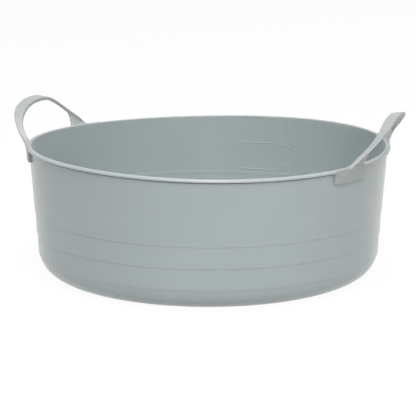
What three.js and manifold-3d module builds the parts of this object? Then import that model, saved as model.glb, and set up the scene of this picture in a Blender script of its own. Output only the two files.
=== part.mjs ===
// A shallow round flexible tub: a soft moulded bowl with a flat lip, two arched strap handles on
// lugs, and raised level lines inside. Millimetres, +Z up, origin on the table under the centre of
// the base, with the handles on +X and -X.
import * as THREE from 'three';
import { mergeVertices } from 'three/addons/utils/BufferGeometryUtils.js';
import Module from 'manifold-3d';

// Driving dimensions of the bowl
const TUB_HEIGHT = 104.5; // table to the top of the lip
const RIM_DIAMETER = 296.6; // across the lip
const RIM_OVERHANG = 2.1; // lip beyond the wall
const RIM_HEIGHT = 2.2; // thickness of the lip
const RIM_EASE = 0.5; // broken edge of the lip
const WALL = 1.6;
const BASE_DIAMETER = 277.7; // the outer wall's line, carried down to the table
const CORNER_RADIUS = 20.8; // outside, between wall and base
const INNER_CORNER_RADIUS = 19.2; // inside, between wall and floor
const FLOOR_THICKNESS = 2.8;
const BASE_RECESS = 1.5; // the middle of the base is held off the table
const FOOT_WIDTH = 8; // flat ring that the tub stands on
const SEAM = 0.3; // clearance between neighbouring features

// Driving dimensions of the handles
const HANDLE_SPAN = 125; // between the two roots of a handle, on the lip's outer edge
const HANDLE_RISE = 30.2; // top of the lip to the top of the grip
const HANDLE_REACH = 23.7; // how far the grip's outer edge stands out beyond the roots
const GRIP_WIDTH = 9;
const ROOT_WIDTH = 3.1; // width of a strap where it runs out on the lip
const STRAP_THICKNESS = 2.7;
const GRIP_CANT = 1.2; // outer edge above the inner edge, at the grip
const LEG_CANT = 3.8; // the same on a leg, before it runs out at the root
const EDGE_SHARE = 0.88; // thickness of the outer edge at the grip, as a share of the inner edge
const LEG_EDGE_SHARE = 0.42; // the same at the end of a leg
const STRAP_EASE = 0.6; // broken edges along a strap
const LUG_WIDTH = 35;
const LUG_SHIFT = 0.3; // middle of a lug, outside the root of the strap
const LUG_DROP = 11.7; // top of the lip to the foot of a lug
const LUG_CORNER = 3;
const WEB_THICKNESS = 2.6;
const WEB_FOOT = 1; // thickness of a web's foot under the end of the strap

// Driving dimensions of the level lines
const LEVEL_6_DROP = 1.2; // each line, below the top of the lip
const LEVEL_4_5_DROP = 24.1;
const LEVEL_3_DROP = 48.2;
const LEVEL_LENGTH = 31;
const LEVEL_THICKNESS = 1;
const LEVEL_RELIEF = 0.5;
const LEVEL_ANGLE = THREE.MathUtils.degToRad(89); // middle of the lines, round from +X
const DIGIT_HEIGHT = 9;
const DIGIT_WIDTH = 5.6;
const DIGIT_STROKE = 1;
const DIGIT_LIFT = 1.2; // middle of a number, above its line
const NUMBER_GAP = 11; // end of a line to the middle of its number
const DIGIT_PITCH = 7.8; // first to second digit of a number with a point

// Smoothness of round surfaces
const ROUND_STEPS = 96;
const CORNER_STEPS = 7;
const STRAP_STEPS = 40;

// Shape of a strap's arch: height falls and reach draws in towards the ends by these powers
const ARCH_POWER = 2.45;
const REACH_POWER = 3.7;
const CANT_POWER = 8;
// Shares of the half span, from the middle, where the cant and the thin edge of the legs begin and
// where they are full
const CANT_START = 0.3;
const CANT_FULL = 0.75;
const EDGE_START = 0.4;
const EDGE_FULL = 0.9;

const RIM_RADIUS = RIM_DIAMETER / 2;
const WALL_SLOPE = (RIM_RADIUS - RIM_OVERHANG - BASE_DIAMETER / 2) / TUB_HEIGHT;
const WALL_TILT = Math.atan(WALL_SLOPE);
const FLOOR_LEVEL = BASE_RECESS + FLOOR_THICKNESS;
const LIP_UNDERSIDE = TUB_HEIGHT - RIM_HEIGHT;

const wasm = await Module();
wasm.setup();

const tub = new THREE.Group();

function outerRadius(z) {
  return BASE_DIAMETER / 2 + WALL_SLOPE * z;
}

function innerRadius(z) {
  return outerRadius(z) - WALL / Math.cos(WALL_TILT);
}

// A soft grey-green plastic, one copy for each feature.
function plastic() {
  return new THREE.MeshStandardMaterial({ color: 0xa3adac, roughness: 0.5, metalness: 0 });
}

function addFeature(name, geometry, parent = tub) {
  const mesh = new THREE.Mesh(geometry, plastic());
  mesh.name = name;
  parent.add(mesh);
  return mesh;
}

// Turns the faces of a closed indexed surface outwards.
function facingOut(geometry) {
  const place = geometry.getAttribute('position');
  const corner = [new THREE.Vector3(), new THREE.Vector3(), new THREE.Vector3()];
  let volume = 0;
  for (let i = 0; i < geometry.index.count; i += 3) {
    corner.forEach((c, k) => c.fromBufferAttribute(place, geometry.index.getX(i + k)));
    volume += corner[0].dot(corner[1].clone().cross(corner[2]));
  }
  if (volume < 0) {
    geometry.setIndex(Array.from(geometry.index.array).reverse());
  }
  return geometry;
}

// A closed body through a row of sections, each a loop of the same number of points.
function loft(sections) {
  const sides = sections[0].length;
  const last = (sections.length - 1) * sides;
  const index = [];
  for (let row = 0; row < sections.length - 1; row += 1) {
    for (let k = 0; k < sides; k += 1) {
      const a = row * sides + k;
      const b = row * sides + ((k + 1) % sides);
      index.push(a, b, a + sides, b, b + sides, a + sides);
    }
  }
  for (let k = 1; k < sides - 1; k += 1) {
    index.push(0, k + 1, k);
    index.push(last, last + k, last + k + 1);
  }
  const geometry = new THREE.BufferGeometry();
  geometry.setFromPoints(sections.flat());
  geometry.setIndex(index);
  return facingOut(geometry);
}

// Points of an arc that joins a wall, which leans out by the draft, to a level floor.
function cornerArc(wallRadius, floor, radius) {
  const height = floor + radius;
  const centre = wallRadius(height) - radius / Math.cos(WALL_TILT);
  const points = [];
  for (let k = 0; k <= CORNER_STEPS; k += 1) {
    const angle = THREE.MathUtils.lerp(-Math.PI / 2, -WALL_TILT, k / CORNER_STEPS);
    points.push(new THREE.Vector2(centre + radius * Math.cos(angle), height + radius * Math.sin(angle)));
  }
  return points;
}

// Turns a profile of radius and height about the upright axis.
function turned(profile) {
  return new THREE.LatheGeometry(profile, ROUND_STEPS).rotateX(Math.PI / 2);
}

// Bowl: foot ring, corner and wall outside, then wall, corner and floor inside
function shellGeometry() {
  const wallTop = LIP_UNDERSIDE - SEAM;
  const outside = cornerArc(outerRadius, 0, CORNER_RADIUS);
  const inside = cornerArc(innerRadius, FLOOR_LEVEL, INNER_CORNER_RADIUS);
  const footInner = outside[0].x - FOOT_WIDTH;
  const profile = [
    new THREE.Vector2(0, BASE_RECESS),
    new THREE.Vector2(footInner - BASE_RECESS, BASE_RECESS),
    new THREE.Vector2(footInner, 0),
    ...outside,
    new THREE.Vector2(outerRadius(wallTop), wallTop),
    new THREE.Vector2(innerRadius(wallTop), wallTop),
    ...inside.reverse(),
    new THREE.Vector2(0, FLOOR_LEVEL),
  ];
  return turned(profile);
}

// Lip: a flat ring on top of the wall, flush with it inside and standing out beyond it outside
function rimGeometry() {
  const inner = innerRadius(TUB_HEIGHT);
  const e = RIM_EASE;
  const profile = [
    new THREE.Vector2(inner, LIP_UNDERSIDE),
    new THREE.Vector2(RIM_RADIUS - e, LIP_UNDERSIDE),
    new THREE.Vector2(RIM_RADIUS, LIP_UNDERSIDE + e),
    new THREE.Vector2(RIM_RADIUS, TUB_HEIGHT - e),
    new THREE.Vector2(RIM_RADIUS - e, TUB_HEIGHT),
    new THREE.Vector2(inner + e, TUB_HEIGHT),
    new THREE.Vector2(inner, TUB_HEIGHT - e),
  ];
  profile.push(profile[0].clone());
  return turned(profile);
}

// A strap, seen along its length: at a distance y from the middle of the handle it has one upright
// section, canted by lifting its outer edge, a little at the grip and more on the legs. The slope of
// the arch decides how tall that section is. The outer edge is thinner, most of all on the legs.
const HALF_SPAN = HANDLE_SPAN / 2;
const ROOT_OUTER = Math.sqrt(RIM_RADIUS ** 2 - HALF_SPAN ** 2);

function strapLift(share) {
  const legs = THREE.MathUtils.smoothstep(share, CANT_START, CANT_FULL);
  return THREE.MathUtils.lerp(GRIP_CANT, LEG_CANT, legs) * (1 - share ** CANT_POWER);
}

function strapEdgeShare(share) {
  const legs = THREE.MathUtils.smoothstep(share, EDGE_START, EDGE_FULL);
  return THREE.MathUtils.lerp(EDGE_SHARE, LEG_EDGE_SHARE, legs);
}

function strapSection(y) {
  const share = Math.abs(y) / HALF_SPAN;
  const arch = 1 - share ** ARCH_POWER;
  const slope = ((HANDLE_RISE * ARCH_POWER) / HALF_SPAN) * share ** (ARCH_POWER - 1);
  const high = TUB_HEIGHT + HANDLE_RISE * arch;
  const low = high - STRAP_THICKNESS * Math.hypot(1, slope);
  const outer = ROOT_OUTER + HANDLE_REACH * (1 - share ** REACH_POWER);
  const inner = outer - THREE.MathUtils.lerp(ROOT_WIDTH, GRIP_WIDTH, arch);
  const outerHigh = high + strapLift(share);
  const outerLow = outerHigh - (high - low) * strapEdgeShare(share);
  return { inner, outer, low, high, outerLow, outerHigh };
}

// The strap bends on a line along the webs' feet, and ends where its underside comes down to them.
const HINGE_Z = TUB_HEIGHT + SEAM + WEB_FOOT;
const STRAP_END = strapEnd();
const HINGE_X = strapSection(STRAP_END).inner;

function strapEnd() {
  let clear = 0;
  let buried = HALF_SPAN;
  while (buried - clear > SEAM / 100) {
    const middle = (clear + buried) / 2;
    if (strapSection(middle).low > HINGE_Z + SEAM) {
      clear = middle;
    } else {
      buried = middle;
    }
  }
  return clear;
}

function strapGeometry() {
  const sections = [];
  const e = STRAP_EASE;
  for (let k = 0; k <= STRAP_STEPS; k += 1) {
    const y = STRAP_END * Math.sin((Math.PI * k) / STRAP_STEPS - Math.PI / 2);
    const { inner, outer, low, high, outerLow, outerHigh } = strapSection(y);
    sections.push([
      new THREE.Vector3(inner, y, low + e),
      new THREE.Vector3(inner + e, y, low),
      new THREE.Vector3(outer - e, y, outerLow),
      new THREE.Vector3(outer, y, outerLow + e),
      new THREE.Vector3(outer, y, outerHigh - e),
      new THREE.Vector3(outer - e, y, outerHigh),
      new THREE.Vector3(inner + e, y, high),
      new THREE.Vector3(inner, y, high - e),
    ]);
  }
  return loft(sections);
}

// Lugs and webs are worked out for the end of the strap on the +Y side, and mirrored for the other.
const ROOT_ANGLE = Math.asin(HALF_SPAN / RIM_RADIUS);
const LUG_START_ANGLE = ROOT_ANGLE + (LUG_SHIFT - LUG_WIDTH / 2) / RIM_RADIUS;

function aroundAxis(radius, angle, z) {
  return new THREE.Vector3(radius * Math.cos(angle), radius * Math.sin(angle), z);
}

function lugGeometry(side) {
  const corner = [];
  const middle = [];
  for (let k = 0; k <= CORNER_STEPS; k += 1) {
    corner.push(LUG_CORNER * (1 - Math.cos((Math.PI / 2) * (k / CORNER_STEPS))));
    middle.push(THREE.MathUtils.lerp(LUG_CORNER, LUG_WIDTH - LUG_CORNER, k / CORNER_STEPS));
  }
  const otherCorner = corner.map((inset) => LUG_WIDTH - inset).reverse();
  const acrossLug = [...corner, ...middle.slice(1, -1), ...otherCorner];
  const sections = acrossLug.map((place) => {
    const fromEnd = Math.min(place, LUG_WIDTH - place, LUG_CORNER);
    const lift = LUG_CORNER - Math.sqrt(LUG_CORNER ** 2 - (LUG_CORNER - fromEnd) ** 2);
    const foot = TUB_HEIGHT - LUG_DROP + lift;
    const head = LIP_UNDERSIDE - SEAM;
    const angle = side * (LUG_START_ANGLE + place / RIM_RADIUS);
    return [
      aroundAxis(outerRadius(foot) + SEAM, angle, foot),
      aroundAxis(RIM_RADIUS, angle, foot),
      aroundAxis(RIM_RADIUS, angle, head),
      aroundAxis(outerRadius(head) + SEAM, angle, head),
    ];
  });
  return loft(sections);
}

// A web stands on the lip. Under the strap its top is rounded about the line that the strap bends on,
// so that the strap swings clear of it. A low foot runs on past the strap's end, to a horn that takes
// up the strap's slope and brings it down to the lip.
function webSection(y, top) {
  const lipOuter = Math.sqrt((RIM_RADIUS - RIM_EASE) ** 2 - y ** 2);
  const foot = TUB_HEIGHT + SEAM;
  return [[lipOuter - WEB_THICKNESS, foot], [lipOuter, foot], ...top].map(([x, z]) => [x, y, z]);
}

function webUnderStrap(y) {
  const { inner, low } = strapSection(y);
  const reach = Math.hypot(inner - HINGE_X, low - HINGE_Z) - SEAM;
  const lean = Math.atan2(inner - HINGE_X, low - HINGE_Z);
  const top = [0, 0.5, 1].map((share) => {
    const angle = lean - share * Math.atan2(WEB_THICKNESS, reach);
    return [HINGE_X + reach * Math.sin(angle), HINGE_Z + reach * Math.cos(angle)];
  });
  return webSection(y, top);
}

function webFoot(y) {
  const lipOuter = Math.sqrt((RIM_RADIUS - RIM_EASE) ** 2 - y ** 2);
  const top = [0, 0.5, 1].map((share) => [lipOuter - share * WEB_THICKNESS, HINGE_Z]);
  return webSection(y, top);
}

function webHorn(y) {
  const { inner, outer, high, outerHigh } = strapSection(y);
  const lerp = THREE.MathUtils.lerp;
  const top = [0, 0.5, 1].map((share) => [lerp(outer, inner, share), lerp(outerHigh, high, share)]);
  return webSection(y, top);
}

function webGeometry(side) {
  const start = RIM_RADIUS * Math.sin(LUG_START_ANGLE);
  const strapSide = STRAP_END - STRAP_THICKNESS / 2;
  const hornStart = STRAP_END + 2 * SEAM;
  const hornEnd = HALF_SPAN * (1 - (SEAM + WEB_FOOT) / HANDLE_RISE) ** (1 / ARCH_POWER);
  const sections = [];
  for (let k = 0; k <= CORNER_STEPS; k += 1) {
    sections.push(webUnderStrap(THREE.MathUtils.lerp(start, strapSide, k / CORNER_STEPS)));
  }
  sections.push(webFoot(strapSide + SEAM), webFoot(STRAP_END + SEAM));
  for (let k = 0; k <= CORNER_STEPS; k += 1) {
    sections.push(webHorn(THREE.MathUtils.lerp(hornStart, hornEnd, k / CORNER_STEPS)));
  }
  return loft(sections.map((loop) => loop.map(([x, y, z]) => new THREE.Vector3(x, side * y, z))));
}

// Level lines: short raised bars that follow the inside of the wall
function levelLineGeometry(drop) {
  const low = TUB_HEIGHT - drop - LEVEL_THICKNESS / 2;
  const high = low + LEVEL_THICKNESS;
  const halfAngle = LEVEL_LENGTH / 2 / innerRadius(low);
  const back = (z) => innerRadius(z) - SEAM;
  const sections = [];
  for (let k = 0; k <= CORNER_STEPS; k += 1) {
    const angle = LEVEL_ANGLE + halfAngle * ((2 * k) / CORNER_STEPS - 1);
    sections.push([
      aroundAxis(back(low), angle, low),
      aroundAxis(back(high), angle, high),
      aroundAxis(back(high) - LEVEL_RELIEF, angle, high),
      aroundAxis(back(low) - LEVEL_RELIEF, angle, low),
    ]);
  }
  return loft(sections);
}

// Digits are strokes with round ends, drawn about the digit's own middle. A round digit is two bowls,
// the upper one smaller.
const DIGIT_BOWL = DIGIT_WIDTH / 2;
const HALF_TALL = DIGIT_HEIGHT / 2;
const UPPER_SHARE = 0.46;
const UPPER_BOWL = HALF_TALL * UPPER_SHARE;
const LOWER_BOWL = HALF_TALL - UPPER_BOWL;
const UPPER_MIDDLE = HALF_TALL - UPPER_BOWL;
const LOWER_MIDDLE = LOWER_BOWL - HALF_TALL;

function bowl(middleX, middleY, halfWide, halfTall, fromDegrees, toDegrees) {
  const steps = Math.ceil(Math.abs(toDegrees - fromDegrees) / 26);
  const points = [];
  for (let k = 0; k <= steps; k += 1) {
    const angle = THREE.MathUtils.degToRad(THREE.MathUtils.lerp(fromDegrees, toDegrees, k / steps));
    points.push([middleX + halfWide * Math.cos(angle), middleY + halfTall * Math.sin(angle)]);
  }
  return points;
}

const STROKES = {
  digit_3: [
    [
      ...bowl(0, UPPER_MIDDLE, DIGIT_BOWL, UPPER_BOWL, 150, -90),
      ...bowl(0, LOWER_MIDDLE, DIGIT_BOWL, LOWER_BOWL, 90, -150).slice(1),
    ],
  ],
  digit_4: [
    [
      [DIGIT_BOWL, -HALF_TALL / 2],
      [-DIGIT_BOWL, -HALF_TALL / 2],
      [DIGIT_BOWL / 2, HALF_TALL],
      [DIGIT_BOWL / 2, -HALF_TALL],
    ],
  ],
  digit_point: [
    [
      [0, -HALF_TALL],
      [0, DIGIT_STROKE / 4 - HALF_TALL],
    ],
  ],
  digit_5: [
    [
      [DIGIT_BOWL, HALF_TALL],
      [-DIGIT_BOWL, HALF_TALL],
      [-DIGIT_BOWL, 0],
      ...bowl(0, LOWER_MIDDLE, DIGIT_BOWL, LOWER_BOWL, 120, -150),
    ],
  ],
  digit_6: [
    bowl(0, LOWER_MIDDLE, DIGIT_BOWL, LOWER_BOWL, 0, 360),
    bowl(DIGIT_BOWL, LOWER_MIDDLE, DIGIT_WIDTH, HALF_TALL + UPPER_BOWL, 180, 105),
  ],
};

function solidOf(geometry) {
  const bare = geometry.clone();
  bare.deleteAttribute('normal');
  bare.deleteAttribute('uv');
  const merged = mergeVertices(bare);
  return new wasm.Manifold(
    new wasm.Mesh({
      numProp: 3,
      vertProperties: new Float32Array(merged.getAttribute('position').array),
      triVerts: new Uint32Array(merged.index.array),
    }),
  );
}

function geometryOf(solid) {
  const mesh = solid.getMesh();
  const geometry = new THREE.BufferGeometry();
  geometry.setAttribute('position', new THREE.BufferAttribute(mesh.vertProperties, mesh.numProp));
  geometry.setIndex(new THREE.BufferAttribute(mesh.triVerts, 1));
  return geometry;
}

// One straight piece of a stroke, with round ends, as thick as the relief
function strokePiece([fromX, fromY], [toX, toY]) {
  const half = DIGIT_STROKE / 2;
  const heading = Math.atan2(toY - fromY, toX - fromX);
  const outline = new THREE.Shape();
  outline.absarc(fromX, fromY, half, heading + Math.PI / 2, heading + (3 * Math.PI) / 2);
  outline.absarc(toX, toY, half, heading - Math.PI / 2, heading + Math.PI / 2);
  outline.closePath();
  return new THREE.ExtrudeGeometry(outline, { depth: LEVEL_RELIEF, bevelEnabled: false, curveSegments: 4 });
}

function digitGeometry(strokes) {
  const pieces = strokes.flatMap((points) =>
    points.slice(1).map((point, k) => solidOf(strokePiece(points[k], point))),
  );
  return geometryOf(pieces.reduce((whole, piece) => whole.add(piece)));
}

// Stands a digit on the inside of the wall, upright and facing the middle of the tub. A number that
// would stand above the lip hangs from it instead.
function addDigit(name, drop, along) {
  const highest = TUB_HEIGHT - RIM_EASE - (DIGIT_HEIGHT + DIGIT_STROKE) / 2;
  const height = Math.min(TUB_HEIGHT - drop + DIGIT_LIFT, highest);
  const radius = innerRadius(height);
  const holder = new THREE.Group();
  holder.rotation.z = LEVEL_ANGLE - (LEVEL_LENGTH / 2 + NUMBER_GAP + along) / radius - Math.PI / 2;
  const digit = addFeature(name, digitGeometry(STROKES[name]), holder);
  digit.rotation.x = Math.PI / 2 - WALL_TILT;
  digit.position.set(0, radius - SEAM, height);
  tub.add(holder);
}

addFeature('tub_shell', shellGeometry());
addFeature('rim_band', rimGeometry());

for (const [sideName, turn] of [['right', 0], ['left', Math.PI]]) {
  const handle = new THREE.Group();
  handle.rotation.z = turn;
  const frontSide = turn === 0 ? -1 : 1;
  addFeature(`${sideName}_handle_strap`, strapGeometry(), handle);
  for (const [endName, side] of [['front', frontSide], ['rear', -frontSide]]) {
    addFeature(`${sideName}_${endName}_lug`, lugGeometry(side), handle);
    addFeature(`${sideName}_${endName}_web`, webGeometry(side), handle);
  }
  tub.add(handle);
}

addFeature('level_line_6', levelLineGeometry(LEVEL_6_DROP));
addFeature('level_line_4_5', levelLineGeometry(LEVEL_4_5_DROP));
addFeature('level_line_3', levelLineGeometry(LEVEL_3_DROP));
addDigit('digit_6', LEVEL_6_DROP, 0);
addDigit('digit_4', LEVEL_4_5_DROP, -DIGIT_PITCH / 2);
addDigit('digit_point', LEVEL_4_5_DROP, 0);
addDigit('digit_5', LEVEL_4_5_DROP, DIGIT_PITCH / 2);
addDigit('digit_3', LEVEL_3_DROP, 0);

export default tub;
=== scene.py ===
"""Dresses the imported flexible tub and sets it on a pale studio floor.

The bowl and its lip are swept round the upright axis by Geometry Nodes. Each strap handle is grown
from a smooth field, so that strap, webs and lugs run into each other as in one moulding. The level
marks stand in relief on the inside of the wall. Sizes are millimetres until a mesh is made.
"""

import logging
import math
from dataclasses import dataclass, field
from enum import Enum
from typing import Callable, Union

import bpy
import numpy as np
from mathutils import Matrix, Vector


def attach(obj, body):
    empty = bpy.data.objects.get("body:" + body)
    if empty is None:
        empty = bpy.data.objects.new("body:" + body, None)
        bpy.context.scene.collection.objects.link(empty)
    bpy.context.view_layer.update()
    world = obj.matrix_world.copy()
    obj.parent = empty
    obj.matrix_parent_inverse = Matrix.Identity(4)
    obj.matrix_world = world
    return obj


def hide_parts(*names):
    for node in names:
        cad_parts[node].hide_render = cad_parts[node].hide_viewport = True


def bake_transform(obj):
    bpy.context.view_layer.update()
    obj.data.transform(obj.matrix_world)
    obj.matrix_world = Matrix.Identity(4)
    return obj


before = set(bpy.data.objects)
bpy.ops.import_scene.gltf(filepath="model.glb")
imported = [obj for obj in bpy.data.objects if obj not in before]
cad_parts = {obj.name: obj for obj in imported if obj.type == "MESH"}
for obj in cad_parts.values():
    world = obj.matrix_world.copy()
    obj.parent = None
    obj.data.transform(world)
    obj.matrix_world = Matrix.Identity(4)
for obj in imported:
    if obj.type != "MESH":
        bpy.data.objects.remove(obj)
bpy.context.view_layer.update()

MM = 0.001
Feed = Union[bpy.types.NodeSocket, float, tuple]
log = logging.getLogger("flexible_tub")


class Side(Enum):
    """The two sides that carry a handle, with the turn that takes the +X handle there."""

    RIGHT = 1
    LEFT = -1


@dataclass(frozen=True)
class TubShape:
    """Main sizes of the bowl, shared by every piece that meets it."""

    height: float = 104.5
    rim_radius: float = 148.3
    overhang: float = 2.1
    wall: float = 1.6
    base_radius: float = 138.85
    saddle: float = 1.67
    side_lift: float = 0.7
    axis_guard: float = 1e-6

    @property
    def slope(self) -> float:
        """Outward lean of the wall, as a share of its height."""
        return (self.rim_radius - self.overhang - self.base_radius) / self.height

    @property
    def tilt(self) -> float:
        """Outward lean of the wall, in radians."""
        return math.atan(self.slope)

    def outer(self, z: float) -> float:
        """Radius of the wall's outside at a height."""
        return self.base_radius + self.slope * z

    def inner(self, z: float) -> float:
        """Radius of the wall's inside at a height."""
        return self.outer(z) - self.wall / math.cos(self.tilt)

    def saddled(self, points: np.ndarray) -> np.ndarray:
        """Bends the mouth into the slight saddle that the soft tub has taken.

        Args:
            points: Places in millimetres, one row each.

        Returns:
            The same places with their heights shifted.
        """
        x, y, z = points.T
        share = np.clip(z / self.height, 0.0, 1.0) ** 2
        warp = 2.0 * self.saddle * x * y + self.side_lift * x * x
        moved = points.copy()
        moved[:, 2] += share * warp / (x * x + y * y + self.axis_guard)
        return moved


TUB = TubShape()


def arc(centre: tuple[float, float], radius: float, start: float, end: float, steps: int) -> list:
    """Points of an arc in a section.

    Args:
        centre: Radius and height of the arc's centre.
        radius: Radius of the arc.
        start: First angle, in degrees.
        end: Last angle, in degrees.
        steps: Number of straight pieces.

    Returns:
        Pairs of radius and height.
    """
    turn = np.radians(np.linspace(start, end, steps + 1))
    return [(centre[0] + radius * math.cos(t), centre[1] + radius * math.sin(t)) for t in turn]


def smoothstep(low: float, high: float, value: np.ndarray) -> np.ndarray:
    """Eased share of the way from low to high."""
    t = np.clip((value - low) / (high - low), 0.0, 1.0)
    return t * t * (3.0 - 2.0 * t)


def smooth_union(a: np.ndarray, b: np.ndarray, fillet: float) -> np.ndarray:
    """Joins two fields with a fillet of about the given size."""
    h = np.clip(0.5 + 0.5 * (b - a) / fillet, 0.0, 1.0)
    return b + (a - b) * h - fillet * h * (1.0 - h)


def smooth_cut(a: np.ndarray, b: np.ndarray, ease: float) -> np.ndarray:
    """Keeps what is in both fields, with its edge eased."""
    return -smooth_union(-a, -b, ease)


def rounded_box(a: np.ndarray, b: np.ndarray, half_a: float, half_b: float, ease: float) -> np.ndarray:
    """Distance to a rectangle with eased corners.

    Args:
        a: First coordinate about the rectangle's middle.
        b: Second coordinate about the rectangle's middle.
        half_a: Half the rectangle's size along the first coordinate.
        half_b: Half the rectangle's size along the second coordinate.
        ease: Radius of the corners.

    Returns:
        The distance, negative inside.
    """
    qa = np.abs(a) - half_a + ease
    qb = np.abs(b) - half_b + ease
    outside = np.hypot(np.maximum(qa, 0.0), np.maximum(qb, 0.0))
    return outside + np.minimum(np.maximum(qa, qb), 0.0) - ease


class NodeKit:
    """Short ways to add and join nodes in one tree."""

    def __init__(self, tree: bpy.types.NodeTree) -> None:
        """Takes the tree that the nodes go into."""
        self.tree = tree

    def add(self, kind: str, inputs: dict | None = None, **settings) -> bpy.types.Node:
        """Adds a node.

        Args:
            kind: Blender's name for the kind of node.
            inputs: What feeds each input socket: another socket, or a plain value.
            settings: Values of the node's own properties.

        Returns:
            The new node.
        """
        node = self.tree.nodes.new(kind)
        for name, value in settings.items():
            setattr(node, name, value)
        for socket, value in (inputs or {}).items():
            if isinstance(value, bpy.types.NodeSocket):
                self.tree.links.new(value, node.inputs[socket])
            else:
                node.inputs[socket].default_value = value
        return node

    def math(
        self, operation: str, a: Feed, b: Feed = 0.0, c: Feed = 0.0, clamp: bool = False
    ) -> bpy.types.NodeSocket:
        """Adds a Math node on up to three values and gives its result."""
        node = self.add("ShaderNodeMath", {0: a, 1: b, 2: c}, operation=operation, use_clamp=clamp)
        return node.outputs[0]

    def mix(self, share: Feed, first: Feed, second: Feed) -> bpy.types.NodeSocket:
        """Adds a colour mix and gives its result."""
        return self.add("ShaderNodeMix", {0: share, 6: first, 7: second}, data_type="RGBA").outputs[2]

    def noise(self, place: Feed, scale: float, detail: float, rough: float) -> bpy.types.NodeSocket:
        """Adds a noise texture and gives its value."""
        values = {"Vector": place, "Scale": scale, "Detail": detail, "Roughness": rough}
        return self.add("ShaderNodeTexNoise", values).outputs[0]

    def span(
        self, value: Feed, low: float, high: float, to_low: float = 0.0, to_high: float = 1.0
    ) -> bpy.types.NodeSocket:
        """Adds an eased change of range and gives its result."""
        values = {"Value": value, 1: low, 2: high, 3: to_low, 4: to_high}
        return self.add("ShaderNodeMapRange", values, interpolation_type="SMOOTHSTEP").outputs[0]


def new_group(name: str, kind: str, takes: list, gives: list) -> tuple:
    """Starts a node group.

    Args:
        name: The group's name.
        kind: Blender's name for the kind of tree.
        takes: Name, socket type and default of each input; None leaves the default alone.
        gives: Name and socket type of each output.

    Returns:
        The tree, its kit, its input node's sockets and its output node.
    """
    tree = bpy.data.node_groups.new(name, kind)
    for label, socket, value in takes:
        made = tree.interface.new_socket(name=label, in_out="INPUT", socket_type=socket)
        if value is not None:
            made.default_value = value
    for label, socket in gives:
        tree.interface.new_socket(name=label, in_out="OUTPUT", socket_type=socket)
    kit = NodeKit(tree)
    entry = kit.add("NodeGroupInput").outputs
    return tree, kit, entry, kit.add("NodeGroupOutput")


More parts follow.
